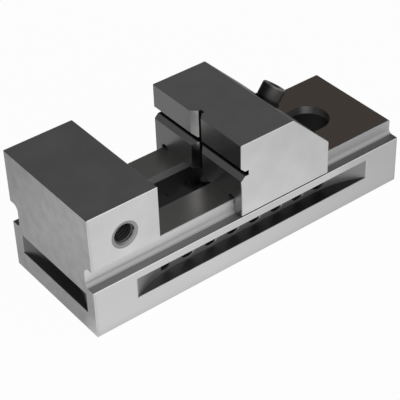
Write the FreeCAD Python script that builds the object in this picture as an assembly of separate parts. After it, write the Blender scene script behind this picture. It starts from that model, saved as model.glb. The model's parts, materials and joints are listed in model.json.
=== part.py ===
import FreeCAD, Part
import math
import os

# Quick-adjust precision vise, ground steel, in millimetres.
# X runs along the vise from the fixed jaw's end, Y across it, Z up from the surface it stands on.
# The origin is the centre of the footprint.

# Body: overall sizes
body_length = 200.0
body_width = 73.0
bed_height = 36.4
jaw_height = 36.4
fixed_jaw_length = 40.6
edge_chamfer = 0.3

# Body: ledges and the grooves above them
ledge_drop = 8.1
neck_inset = 6.7
groove_height = 13.3
groove_radius = 3.4
ledge_radius = 2.4

# Body: clamping windows, milled with one large disc cutter
window_below_ledge = 4.3
window_height = 12.0
window_start = 25.0
window_length = 153.0
window_depth = 8.0
end_window_depth = 7.5
cutter_radius = 62.5

# Body: slot in the bed and pocket below it
slot_width = 23.5
slot_gap_to_jaw = 0.4
slot_end_wall = 20.9
slot_land = 4.8
slot_relief = 0.8
pocket_start = 40.0
pocket_length = 128.0
pocket_width = 44.0
pocket_corner = 6.0

# Body: row of cross holes whose upper halves are the notches for the nut
hole_count = 8
hole_pitch = 14.66
hole_start = 47.3
hole_radius = 4.25
hole_above_window_floor = 5.5
hole_chamfer = 0.5

# Body: threaded hole for a work stop
stop_hole_radius = 6.0
stop_hole_depth = 17.0
stop_countersink = 1.7

# Movable jaw
jaw_opening = 50.45
jaw_foot_length = 58.25
jaw_top_length = 34.3
skirt_gap = 0.8
fillet_clearance = 0.3
slide_clearance = 0.05
relief_along_bed = 4.3
relief_above_bed = 2.1
relief_into_skirt = 1.2
relief_down_skirt = 2.6
relief_corner_cut = 1.6

# Movable jaw: vee grooves in its face
vee_relief_width = 2.9
vee_relief_depth = 4.7
level_vee_half = 3.9
upright_vee_half = 4.5
level_vee_rise = 18.6

# Movable jaw: milled recess, dished seat and passage for the clamping screw
recess_depth = 1.6
recess_half_width = 7.75
recess_above_seat = 3.4
recess_below_seat = 5.2
seat_from_top_edge = 16.2
seat_radius = 6.2
seat_clearance = 0.06
seat_tilt_deg = 8.0
passage_clearance = 0.4
passage_margin_deg = 0.8

# Clamping screw, with a size 8 coarse thread
screw_radius = 4.0
screw_past_nut = 3.46
screw_tip_chamfer = 0.8
head_radius = 6.5
head_height = 8.0
head_chamfer = 0.5
socket_across_flats = 6.0
socket_depth = 4.0
screw_swing_deg = 5.0
thread_pitch = 1.25
head_gap = 0.05

# Domed washer under the head
washer_radius = 7.0
washer_thickness = 4.7
washer_sphere = 12.0
washer_bore_clearance = 0.3

# Cross nut
nut_radius = 6.0
nut_length = 22.0
journal_radius = 4.0
nut_overall = 42.0
nut_thread_clearance = 0.05
nut_chamfer = 0.5
nut_gap_below_notches = 0.3
nut_turns_below_notches = 1.0

# Sizes that follow from the ones above
left = -body_length / 2
right = body_length / 2
half_width = body_width / 2
half_neck = half_width - neck_inset
total_height = bed_height + jaw_height
ledge_height = bed_height - ledge_drop
window_floor = ledge_height - window_below_ledge - window_height
hole_height = window_floor + hole_above_window_floor
past = 1.0


def box(x0, x1, y0, y1, z0, z1):
    """Return a block between two corners."""
    return Part.makeBox(x1 - x0, y1 - y0, z1 - z0, FreeCAD.Vector(x0, y0, z0))


def polygon_face(points):
    """Return a flat face whose outline joins the points with straight lines."""
    return Part.Face(Part.makePolygon(points + [points[0]]))


def prism_along_x(outline, x0, x1):
    """Push an outline of (y, z) points from x0 to x1."""
    face = polygon_face([FreeCAD.Vector(x0, y, z) for y, z in outline])
    return face.extrude(FreeCAD.Vector(x1 - x0, 0, 0))


def prism_along_y(outline, y0, y1):
    """Push an outline of (x, z) points from y0 to y1."""
    face = polygon_face([FreeCAD.Vector(x, y0, z) for x, z in outline])
    return face.extrude(FreeCAD.Vector(0, y1 - y0, 0))


def prism_along_z(outline, z0, z1):
    """Push an outline of (x, y) points from z0 to z1."""
    face = polygon_face([FreeCAD.Vector(x, y, z0) for x, y in outline])
    return face.extrude(FreeCAD.Vector(0, 0, z1 - z0))


def round_ended_block(x0, x1, width, z0, z1):
    """Return a block along X whose ends are full half circles in plan."""
    radius = width / 2
    middle = box(x0 + radius, x1 - radius, -radius, radius, z0, z1)
    for x in (x0 + radius, x1 - radius):
        middle = middle.fuse(Part.makeCylinder(radius, z1 - z0, FreeCAD.Vector(x, 0, z0)))
    return middle.removeSplitter()


def chamfer_picked(shape, size, wanted):
    """Chamfer the straight edges that wanted() accepts by their two end points."""
    edges = []
    for edge in shape.Edges:
        if len(edge.Vertexes) == 2 and wanted(edge.Vertexes[0].Point, edge.Vertexes[1].Point):
            edges.append(edge)
    return shape.makeChamfer(size, edges)


def both_at(first, second, place):
    """Say whether two values both equal place."""
    return abs(first - place) < 1e-6 and abs(second - place) < 1e-6


# Vise body

def base_block():
    """Return the base: full width up to the ledges, then the narrower bed."""
    outline = [(-half_width, 0), (half_width, 0), (half_width, ledge_height), (half_neck, ledge_height),
               (half_neck, bed_height), (-half_neck, bed_height), (-half_neck, ledge_height),
               (-half_width, ledge_height)]
    return prism_along_x(outline, left, right)


def fixed_jaw_block():
    """Return the fixed jaw, full width above the grooves and on a narrower neck below them."""
    groove_top = ledge_height + groove_height
    outline = [(-half_neck, ledge_height), (half_neck, ledge_height), (half_neck, groove_top),
               (half_width, groove_top), (half_width, total_height), (-half_width, total_height),
               (-half_width, groove_top), (-half_neck, groove_top)]
    return prism_along_x(outline, left, left + fixed_jaw_length)


def round_inner_corners(shape):
    """Round the groove's inner corners, at the ledges and under the fixed jaw."""
    groove_top = ledge_height + groove_height
    low, high = [], []
    for edge in shape.Edges:
        a, b = edge.Vertexes[0].Point, edge.Vertexes[-1].Point
        along_neck = both_at(abs(a.y), abs(b.y), half_neck) and abs(a.x - b.x) > past
        if along_neck and both_at(a.z, b.z, ledge_height):
            low.append(edge)
        if along_neck and both_at(a.z, b.z, groove_top):
            high.append(edge)
    shape = shape.makeFillet(ledge_radius, low)
    high = [edge for edge in shape.Edges
            if both_at(edge.BoundBox.ZMin, edge.BoundBox.ZMax, groove_top)
            and both_at(abs(edge.Vertexes[0].Point.y), abs(edge.Vertexes[-1].Point.y), half_neck)]
    return shape.makeFillet(groove_radius, high)


def chamfer_body(shape):
    """Break the body's outer edges with a small chamfer."""
    jaw_face = left + fixed_jaw_length

    def wanted(a, b):
        long_outer = both_at(abs(a.y), abs(b.y), half_width) and abs(a.x - b.x) > past
        jaw_top = both_at(a.z, b.z, total_height)
        jaw_front = both_at(a.x, b.x, jaw_face) and both_at(abs(a.y), abs(b.y), half_width)
        left_upright = both_at(a.x, b.x, left) and both_at(abs(a.y), abs(b.y), half_width)
        right_upright = both_at(a.x, b.x, right) and both_at(abs(a.y), abs(b.y), half_width)
        foot = both_at(a.z, b.z, 0)
        bed_edge = both_at(a.z, b.z, bed_height) and not both_at(a.x, b.x, jaw_face)
        return long_outer or jaw_top or jaw_front or left_upright or right_upright or foot or bed_edge

    return chamfer_picked(shape, edge_chamfer, wanted)


def side_window_cutter(side):
    """Return what the disc cutter sweeps in one long side, side being -1 or 1."""
    half_chord = math.sqrt(cutter_radius ** 2 - (cutter_radius - window_depth) ** 2)
    first = left + window_start + half_chord
    last = left + window_start + window_length - half_chord
    centre_y = side * (half_width - window_depth + cutter_radius)
    inner_y = side * (half_width - window_depth)
    window_top = window_floor + window_height
    sweep = box(first, last, min(centre_y, inner_y), max(centre_y, inner_y), window_floor, window_top)
    for x in (first, last):
        place = FreeCAD.Vector(x, centre_y, window_floor)
        sweep = sweep.fuse(Part.makeCylinder(cutter_radius, window_height, place))
    return sweep


def end_window_cutter(end):
    """Return the plunge of the same disc cutter in one end, end being -1 or 1."""
    centre_x = end * (body_length / 2 - end_window_depth + cutter_radius)
    return Part.makeCylinder(cutter_radius, window_height, FreeCAD.Vector(centre_x, 0, window_floor))


def slot_cutter():
    """Return the slot through the bed: a ground land at the top and a relieved part below."""
    start = left + fixed_jaw_length + slot_gap_to_jaw
    end = right - slot_end_wall
    land = round_ended_block(start, end, slot_width, bed_height - slot_land - past, bed_height + past)
    relief_width = slot_width + 2 * slot_relief
    relief = round_ended_block(start - slot_relief, end + slot_relief, relief_width,
                               -past, bed_height - slot_land)
    return land.fuse(relief)


def pocket_cutter():
    """Return the wider pocket that opens at the underside and ends at the notches' height."""
    start = left + pocket_start
    block = box(start, start + pocket_length, -pocket_width / 2, pocket_width / 2, -past, hole_height)
    upright = [edge for edge in block.Edges if abs(edge.Vertexes[0].Point.z - edge.Vertexes[1].Point.z) > past]
    return block.makeFillet(pocket_corner, upright)


def hole_x(index):
    """Return where along the vise the cross hole with this number lies, counted from 0."""
    return left + hole_start + index * hole_pitch


def cross_hole_cutters():
    """Return the drills of the row of cross holes, with the small chamfers at their mouths."""
    back_wall = half_width - window_depth
    drills = []
    for index in range(hole_count):
        x = hole_x(index)
        start = FreeCAD.Vector(x, -back_wall - past, hole_height)
        drills.append(Part.makeCylinder(hole_radius, 2 * (back_wall + past), start, FreeCAD.Vector(0, 1, 0)))
        for side in (-1, 1):
            mouth = FreeCAD.Vector(x, side * back_wall, hole_height)
            inward = FreeCAD.Vector(0, -side, 0)
            drills.append(Part.makeCone(hole_radius + hole_chamfer, hole_radius, hole_chamfer, mouth, inward))
    return drills


def stop_hole_cutter():
    """Return the blind work-stop hole at the thread's major radius, with its countersink."""
    inward = FreeCAD.Vector(0, 1, 0)
    mouth = FreeCAD.Vector(left + fixed_jaw_length / 2, -half_width, bed_height + jaw_height / 2)
    hole = Part.makeCylinder(stop_hole_radius, stop_hole_depth, mouth, inward)
    tip_height = stop_hole_radius / math.tan(math.radians(59))
    tip = Part.makeCone(stop_hole_radius, 0, tip_height, mouth + inward * stop_hole_depth, inward)
    sink = Part.makeCone(stop_hole_radius + stop_countersink, stop_hole_radius, stop_countersink, mouth, inward)
    return hole.fuse([tip, sink])


def vise_body():
    """Return the one-piece body with its fixed jaw."""
    shape = base_block().fuse(fixed_jaw_block()).removeSplitter()
    shape = round_inner_corners(shape)
    shape = chamfer_body(shape)
    cutters = [side_window_cutter(-1), side_window_cutter(1), end_window_cutter(-1), end_window_cutter(1)]
    cutters += [slot_cutter(), pocket_cutter(), stop_hole_cutter()]
    cutters += cross_hole_cutters()
    return shape.cut(cutters)


# Line of the clamping screw

jaw_face_x = left + fixed_jaw_length + jaw_opening
top_rear_x = jaw_face_x + jaw_top_length
slope_run = jaw_foot_length - jaw_top_length
slope_normal = FreeCAD.Vector(1, 0, 1).normalize()
slope_down = FreeCAD.Vector(1, 0, -1).normalize()


def along(angle_deg):
    """Return the direction that points out of the screw's head at this lean from level."""
    angle = math.radians(angle_deg)
    return FreeCAD.Vector(math.cos(angle), 0, math.sin(angle))


seat_foot = FreeCAD.Vector(top_rear_x, 0, total_height) + slope_down * seat_from_top_edge
pivot_rise = math.sqrt(washer_sphere ** 2 - seat_radius ** 2) - recess_depth
pivot = seat_foot + slope_normal * pivot_rise


def notch_lean(index):
    """Return the screw's lean from level, in degrees, when the nut hangs in the notch with this number."""
    return math.degrees(math.atan2(pivot.z - hole_height, pivot.x - hole_x(index)))


# The screw leans towards the notch that brings it nearest to square with the rear slope, and no flatter.
flattest_lean = 45 + seat_tilt_deg
notch_number = min(range(hole_count), key=lambda index: abs(notch_lean(index) - flattest_lean))
screw_lean = notch_lean(notch_number)
screw_axis = along(screw_lean)
washer_bottom = pivot - screw_axis * washer_sphere
washer_top = washer_bottom + screw_axis * washer_thickness
head_underside = washer_top + screw_axis * head_gap

# The nut hangs below the shoulders, so far that the screw's next turns lift its journals up to them.
lifted_height = hole_height - journal_radius - nut_gap_below_notches
pivot_to_lifted_nut = (pivot.z - lifted_height) / math.sin(math.radians(screw_lean))
nut_centre = pivot - screw_axis * (pivot_to_lifted_nut + nut_turns_below_notches * thread_pitch)
screw_length = (head_underside - nut_centre).Length + screw_past_nut


# Movable jaw

def jaw_block():
    """Return the jaw's outer block with its rear slope, edges broken."""
    rear = jaw_face_x + jaw_foot_length
    foot = ledge_height + skirt_gap
    outline = [(jaw_face_x, foot), (rear, foot), (rear, total_height - slope_run),
               (top_rear_x, total_height), (jaw_face_x, total_height)]
    block = prism_along_y(outline, -half_width, half_width)
    return block.makeChamfer(edge_chamfer, block.Edges)


def bed_channel():
    """Return the channel in which the bed runs, flared at the foot to clear the ledges' fillets."""
    half = half_neck + slide_clearance
    foot = ledge_height + skirt_gap
    flare = ledge_radius - skirt_gap + fillet_clearance
    far_side = [(half + flare + past, foot - past), (half, foot + flare), (half, bed_height + slide_clearance)]
    outline = far_side + [(-y, z) for y, z in reversed(far_side)]
    return prism_along_x(outline, jaw_face_x - past, jaw_face_x + jaw_foot_length + past)


def corner_relief(side):
    """Return the relief groove, with oblique flanks, at one of the channel's two inner corners."""
    along_bed, rise, aside = relief_along_bed, relief_above_bed, relief_into_skirt
    down = relief_down_skirt
    inward_and_up = [(along_bed, -past), (along_bed, 0), (along_bed - rise, rise),
                     (rise - relief_corner_cut, rise), (-aside, relief_corner_cut - aside),
                     (-aside, aside - down), (0, -down), (past, -down), (past, -past)]
    corner_y = half_neck + slide_clearance
    corner_z = bed_height + slide_clearance
    outline = [(side * (corner_y - inward), corner_z + up) for inward, up in inward_and_up]
    return prism_along_x(outline, jaw_face_x - past, jaw_face_x + jaw_foot_length + past)


def vee_outline(face, centre, half_width_of_vee):
    """Return a vee groove's outline with a relief slot at its root, as (depth place, centre place)."""
    half = vee_relief_width / 2
    flank_end = face + half_width_of_vee - half
    root = face + vee_relief_depth
    rim = half_width_of_vee + past
    return [(face - past, centre + rim), (flank_end, centre + half), (root, centre + half),
            (root, centre - half), (flank_end, centre - half), (face - past, centre - rim)]


def level_vee():
    """Return the vee that runs level across the jaw's face."""
    outline = vee_outline(jaw_face_x, bed_height + level_vee_rise, level_vee_half)
    return prism_along_y(outline, -half_width - past, half_width + past)


def upright_vee():
    """Return the vee that runs from top to bottom at the middle of the jaw's face."""
    outline = vee_outline(jaw_face_x, 0, upright_vee_half)
    return prism_along_z(outline, 0, total_height + past)


def slope_recess():
    """Return the round-ended recess milled square to the rear slope, with open room above it."""
    height = recess_depth + washer_sphere
    sideways = FreeCAD.Vector(0, recess_half_width, 0)
    floor = seat_foot - slope_normal * recess_depth
    upper = floor - slope_down * recess_above_seat
    lower = floor + slope_down * recess_below_seat
    middle = polygon_face([upper - sideways, lower - sideways, lower + sideways, upper + sideways])
    ends = [Part.makeCylinder(recess_half_width, height, place, slope_normal) for place in (upper, lower)]
    return middle.extrude(slope_normal * height).fuse(ends)


def dished_seat():
    """Return the part of a ball that hollows the recess's floor into a seat for the washer."""
    ball = Part.makeSphere(washer_sphere + seat_clearance, pivot)
    below = seat_foot - slope_normal * washer_sphere
    return ball.common(Part.makeCylinder(recess_half_width, washer_sphere, below, slope_normal))


def screw_passage():
    """Return the fan-shaped passage in which the screw swings towards the upright."""
    radius = screw_radius + passage_clearance
    length = pivot.z
    leans = (screw_lean - passage_margin_deg, screw_lean + screw_swing_deg + passage_margin_deg)
    ends = [Part.makeCylinder(radius, length, pivot, along(lean) * -1) for lean in leans]
    near = pivot - FreeCAD.Vector(0, radius, 0)
    fan = polygon_face([near, near - along(leans[0]) * length, near - along(leans[1]) * length])
    return fan.extrude(FreeCAD.Vector(0, 2 * radius, 0)).fuse(ends)


def movable_jaw():
    """Return the movable jaw."""
    cutters = [bed_channel(), corner_relief(-1), corner_relief(1), level_vee(), upright_vee()]
    cutters += [slope_recess(), dished_seat(), screw_passage()]
    return jaw_block().cut(cutters)


# Clamping hardware

def clamp_screw():
    """Return the socket head screw, its thread as a plain shank."""
    down = screw_axis * -1
    shank_end = head_underside + down * (screw_length - screw_tip_chamfer)
    shank = Part.makeCylinder(screw_radius, screw_length - screw_tip_chamfer, head_underside, down)
    tip = Part.makeCone(screw_radius, screw_radius - screw_tip_chamfer, screw_tip_chamfer, shank_end, down)
    head = Part.makeCylinder(head_radius, head_height, head_underside, screw_axis)
    rims = [edge for edge in head.Edges if edge.Closed and len(edge.Vertexes) == 1]
    top_rim = max(rims, key=lambda edge: edge.BoundBox.Center.dot(screw_axis))
    head = head.makeChamfer(head_chamfer, [top_rim])
    return head.fuse([shank, tip]).removeSplitter().cut(hex_socket())


def hex_socket():
    """Return the six-sided socket in the screw's head."""
    across = socket_across_flats / math.sqrt(3)
    floor = head_underside + screw_axis * (head_height - socket_depth)
    sideways = FreeCAD.Vector(0, 1, 0)
    upward = screw_axis.cross(sideways)
    points = []
    for corner in range(6):
        turn = math.radians(60 * corner)
        points.append(floor + sideways * (across * math.cos(turn)) + upward * (across * math.sin(turn)))
    return polygon_face(points).extrude(screw_axis * (socket_depth + past))


def domed_washer():
    """Return the washer whose domed underside lets the screw swing in its seat."""
    disc = Part.makeCylinder(washer_radius, washer_thickness, washer_bottom, screw_axis)
    dome = disc.common(Part.makeSphere(washer_sphere, pivot))
    bore_radius = screw_radius + washer_bore_clearance
    start = washer_bottom - screw_axis * past
    bore = Part.makeCylinder(bore_radius, washer_thickness + 2 * past, start, screw_axis)
    return dome.cut(bore)


def cross_nut():
    """Return the round cross nut with a journal at each end, bored for the screw."""
    across = FreeCAD.Vector(0, 1, 0)
    barrel = Part.makeCylinder(nut_radius, nut_length, nut_centre - across * (nut_length / 2), across)
    journal = Part.makeCylinder(journal_radius, nut_overall, nut_centre - across * (nut_overall / 2), across)
    nut = break_round_edges(barrel, nut_chamfer).fuse(break_round_edges(journal, nut_chamfer))
    bore_radius = screw_radius + nut_thread_clearance
    start = nut_centre - screw_axis * (nut_radius + past)
    return nut.cut(Part.makeCylinder(bore_radius, 2 * (nut_radius + past), start, screw_axis))


def break_round_edges(cylinder, size):
    """Chamfer both rims of a cylinder."""
    rims = [edge for edge in cylinder.Edges if edge.Closed and len(edge.Vertexes) == 1]
    return cylinder.makeChamfer(size, rims)


nodes = {
    "vise_body": vise_body(),
    "movable_jaw": movable_jaw(),
    "clamp_screw": clamp_screw(),
    "domed_washer": domed_washer(),
    "cross_nut": cross_nut(),
}

os.makedirs("parts", exist_ok=True)
for name, shape in nodes.items():
    shape.exportStep("parts/" + name + ".step")
    bounds = shape.BoundBox
    print(name, "solids", len(shape.Solids), "valid", shape.isValid(), "volume", round(shape.Volume, 1),
          "x", round(bounds.XMin, 2), round(bounds.XMax, 2), "y", round(bounds.YMin, 2), round(bounds.YMax, 2),
          "z", round(bounds.ZMin, 2), round(bounds.ZMax, 2))

print("swing pivot", [round(value, 3) for value in pivot], "axis", [round(value, 5) for value in screw_axis])
print("notch", notch_number, "lean", round(screw_lean, 3), "nut centre", [round(value, 3) for value in nut_centre])
print("head underside", [round(value, 3) for value in head_underside], "screw length", round(screw_length, 3))
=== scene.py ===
"""Looks of the precision vise: ground steel, a black oxide screw, real threads and a plain studio."""

import json
import logging
import math
from collections.abc import Callable, Iterator
from contextlib import contextmanager
from dataclasses import dataclass, field
from enum import Enum
from functools import partial, reduce

import bmesh
import bpy
from mathutils import Matrix, Vector

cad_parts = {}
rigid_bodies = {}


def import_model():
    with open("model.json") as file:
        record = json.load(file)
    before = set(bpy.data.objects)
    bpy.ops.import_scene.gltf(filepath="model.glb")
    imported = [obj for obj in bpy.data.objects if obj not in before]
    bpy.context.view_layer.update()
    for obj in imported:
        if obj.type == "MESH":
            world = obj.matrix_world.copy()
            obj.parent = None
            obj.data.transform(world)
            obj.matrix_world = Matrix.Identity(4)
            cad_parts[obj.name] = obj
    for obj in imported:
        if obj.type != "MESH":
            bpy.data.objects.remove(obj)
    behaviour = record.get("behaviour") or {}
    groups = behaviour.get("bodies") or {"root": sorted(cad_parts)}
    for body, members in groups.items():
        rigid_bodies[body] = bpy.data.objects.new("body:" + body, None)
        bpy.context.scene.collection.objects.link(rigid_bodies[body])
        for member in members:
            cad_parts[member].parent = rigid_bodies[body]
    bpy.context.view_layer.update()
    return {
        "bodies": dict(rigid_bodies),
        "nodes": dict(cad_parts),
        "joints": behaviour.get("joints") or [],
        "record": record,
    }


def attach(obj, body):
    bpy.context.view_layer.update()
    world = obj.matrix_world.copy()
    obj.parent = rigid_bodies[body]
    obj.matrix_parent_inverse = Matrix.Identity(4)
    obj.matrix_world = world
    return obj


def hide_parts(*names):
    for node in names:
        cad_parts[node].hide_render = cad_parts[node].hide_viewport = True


log = logging.getLogger("vise")

Socket = bpy.types.NodeSocket
Piece = bpy.types.Object
Material = bpy.types.Material
Pair = tuple[float, float]
Triple = tuple[float, float, float]
Shade = Socket | Triple | float
Inputs = dict[str | int, Shade]

MM = 0.001
MERGE_WITHIN = 0.002 * MM
NOISE_CORE = (0.3, 0.7)
ACROSS = Vector((0.0, 1.0, 0.0))

# What finishes share with pieces: places in millimetres and the screw's direction

SCREW_SEAT = (38.625, 0.0, 61.651)
SCREW_AXIS = (0.595, 0.0, 0.80373)
STOP_HOLE = (-79.7, -36.5, 54.6)

# Shares of a face's normal along an axis, from a slight tilt to looking straight along it

SLIGHTLY = 0.3
SLANTING = 0.4
HALF = 0.5
MOSTLY = 0.6
SQUARELY = 0.9
STRAIGHT = 0.95
WHOLLY = 0.97


class Body(Enum):
    """The rigid bodies that the new pieces ride on."""

    BODY = "body"
    SCREW = "screw"


class Slot(Enum):
    """Names of the record's material slots, which nothing here uses."""

    GROUND = "ground_steel"
    BLACK = "black_oxide_steel"


class Grain(Enum):
    """Which way the fine marks of the last cut run over a piece."""

    ALONG_BED = (0.045, 1.0, 1.0)
    ACROSS_BED = (1.0, 0.045, 1.0)
    NONE = (0.7, 0.7, 0.7)


class Mixed(Enum):
    """What a mix node mixes: its data type, then the places of its two inputs and of its output."""

    COLOUR = ("RGBA", 6, 7, 2)
    NUMBER = ("FLOAT", 2, 3, 0)


# Finishes


class Nodes:
    """A small hand for wiring the nodes of a material or of the surroundings."""

    def __init__(self, owner: Material | bpy.types.World) -> None:
        """Take a new material or new surroundings.

        Args:
            owner: What the nodes belong to.
        """
        owner.use_nodes = True
        self.owner = owner
        self.tree = owner.node_tree
        self.shader = self.tree.nodes.get("Principled BSDF") or self.tree.nodes["Background"]

    def add(self, kind: str, inputs: Inputs | None = None, **settings: object) -> bpy.types.Node:
        """Add a node, set its plain properties and feed its inputs.

        Args:
            kind: The node's Blender type.
            inputs: What goes into its inputs.
            settings: Property names and values.

        Returns:
            The new node.
        """
        node = self.tree.nodes.new(kind)
        for key, value in settings.items():
            setattr(node, key, value)
        self.feed(node, inputs or {})
        return node

    def feed(self, node: bpy.types.Node, inputs: Inputs) -> None:
        """Link or set a node's inputs.

        Args:
            node: The node.
            inputs: By name or place, a socket, a number, a grey's level or a colour's three levels.
        """
        for key, value in inputs.items():
            socket = node.inputs[key]
            if isinstance(value, Socket):
                self.tree.links.new(value, socket)
            elif socket.type == "RGBA":
                levels = value if isinstance(value, tuple) else (value, value, value)
                socket.default_value = (*levels, 1.0)
            else:
                socket.default_value = value

    def math(self, operation: str, first: Socket, second: Socket | float = 0.0) -> Socket:
        """Work out one number from one or two others."""
        return self.add("ShaderNodeMath", {0: first, 1: second}, operation=operation).outputs["Value"]

    def size(self, value: Socket) -> Socket:
        """Drop a number's sign."""
        return self.math("ABSOLUTE", value)

    def above(self, value: Socket, limit: float) -> Socket:
        """Say where a number is greater than a limit."""
        return self.math("GREATER_THAN", value, limit)

    def below(self, value: Socket, limit: float) -> Socket:
        """Say where a number is less than a limit."""
        return self.math("LESS_THAN", value, limit)

    def every(self, *masks: Socket) -> Socket:
        """Say where all of several masks hold."""
        return reduce(lambda first, second: self.math("MULTIPLY", first, second), masks)

    def any_of(self, *masks: Socket) -> Socket:
        """Say where at least one of several masks holds."""
        return reduce(lambda first, second: self.math("MAXIMUM", first, second), masks)

    def between(self, value: Socket, low: float, high: float) -> Socket:
        """Say where a number lies between two limits."""
        return self.every(self.above(value, low), self.below(value, high))

    def squared(self, first: Socket, second: Socket) -> Socket:
        """Add the squares of two numbers."""
        return self.math("ADD", self.math("MULTIPLY", first, first), self.math("MULTIPLY", second, second))

    def rise(self, value: Socket, start: float, end: float, low: float = 0.0, high: float = 1.0) -> Socket:
        """Let a number go from one level to another while a second number goes through a range.

        Args:
            value: The second number's socket.
            start: Where the range starts.
            end: Where the range ends.
            low: Level at the start.
            high: Level at the end.

        Returns:
            The rising number.
        """
        levels = {"From Min": start, "From Max": end, "To Min": low, "To Max": high}
        return self.add("ShaderNodeMapRange", {"Value": value, **levels}).outputs["Result"]

    def lay(self, mask: Socket, under: Shade, over: Shade, mixed: Mixed = Mixed.COLOUR) -> Socket:
        """Lay one colour or number over another.

        Args:
            mask: Where it covers.
            under: What lies below.
            over: What is laid over it.
            mixed: Whether they are colours or numbers.

        Returns:
            The covered colour or number.
        """
        kind, first, second, result = mixed.value
        inputs = {0: mask, first: under, second: over}
        return self.add("ShaderNodeMix", inputs, data_type=kind).outputs[result]

    def coats(self, ground: Socket, *coats: tuple[Socket, Shade], mixed: Mixed = Mixed.COLOUR) -> Socket:
        """Lay several coats, given as (mask, shade), over a ground, the first one lowest."""
        return reduce(lambda under, coat: self.lay(coat[0], under, coat[1], mixed), coats, ground)

    def noise(self, scale: float, detail: float, stretch: Triple = (1.0, 1.0, 1.0)) -> Socket:
        """Add a noise pattern on the piece's own coordinates.

        Args:
            scale: Cells in a metre.
            detail: How many finer layers it has.
            stretch: Share of the scale along X, Y and Z.

        Returns:
            The noise's value socket.
        """
        place = self.add("ShaderNodeTexCoord").outputs["Object"]
        drawn = self.add("ShaderNodeMapping", {"Vector": place, "Scale": stretch}).outputs["Vector"]
        inputs = {"Vector": drawn, "Scale": scale, "Detail": detail}
        return self.add("ShaderNodeTexNoise", inputs).outputs["Fac"]

    def axes(self, output: str) -> tuple[Socket, Socket, Socket]:
        """Split the place on the piece, called Object, or its Normal into X, Y and Z."""
        place = self.add("ShaderNodeTexCoord").outputs[output]
        return tuple(self.add("ShaderNodeSeparateXYZ", {"Vector": place}).outputs)

    def bump(self, height: Socket, depth: float) -> None:
        """Raise the surface by a pattern of this depth in metres."""
        node = self.add("ShaderNodeBump", {"Height": height, "Distance": depth, "Strength": 1.0})
        self.feed(self.shader, {"Normal": node.outputs["Normal"]})

    def finish(self, colour: Socket, roughness: Socket) -> Material:
        """Give the metal its colour and roughness, and hand its material back."""
        self.feed(self.shader, {"Base Color": colour, "Roughness": roughness})
        return self.owner


class Surface(Nodes):
    """A metal's nodes with the place on the piece and the way it looks at hand."""

    def __init__(self, name: str) -> None:
        """Start a new metal.

        Args:
            name: Its name.
        """
        super().__init__(bpy.data.materials.new(name))
        self.x, self.y, self.z = self.axes("Object")
        self.out, self.side, self.up = self.axes("Normal")
        self.far_x, self.far_y = self.size(self.x), self.size(self.y)
        self.lengthways, self.sideways = self.size(self.out), self.size(self.side)

    def eased_edges(self) -> Socket:
        """Find the narrow edges that look up and to the near or far side, where a highlight is painted."""
        return self.every(self.between(self.sideways, SLIGHTLY, WHOLLY), self.above(self.up, SLIGHTLY))


@dataclass(frozen=True)
class SteelFinish:
    """A metal finish with fine marks in one direction and a faint mottle.

    A noise is (cells in a metre, finer layers).
    """

    name: str
    dark: Shade
    light: Shade
    roughness: Pair
    grain: Grain
    mark_depth: float
    metallic: float = 1.0
    marks: Pair = (2600.0, 3.0)
    mottle: Pair = (55.0, 4.0)

    def material(self) -> Material:
        """Make a material that has this finish all over."""
        nodes = Nodes(bpy.data.materials.new(self.name))
        return nodes.finish(*self.patterns(nodes))

    def patterns(self, nodes: Nodes) -> tuple[Socket, Socket]:
        """Lay the finish's marks and mottle.

        Args:
            nodes: The material's nodes.

        Returns:
            The colour and the roughness.
        """
        nodes.feed(nodes.shader, {"Metallic": self.metallic})
        marks = nodes.noise(*self.marks, self.grain.value)
        nodes.bump(marks, self.mark_depth)
        mottle = nodes.rise(nodes.noise(*self.mottle), *NOISE_CORE)
        colour = nodes.lay(mottle, self.dark, self.light)
        return colour, nodes.rise(marks, *NOISE_CORE, *self.roughness)


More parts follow.
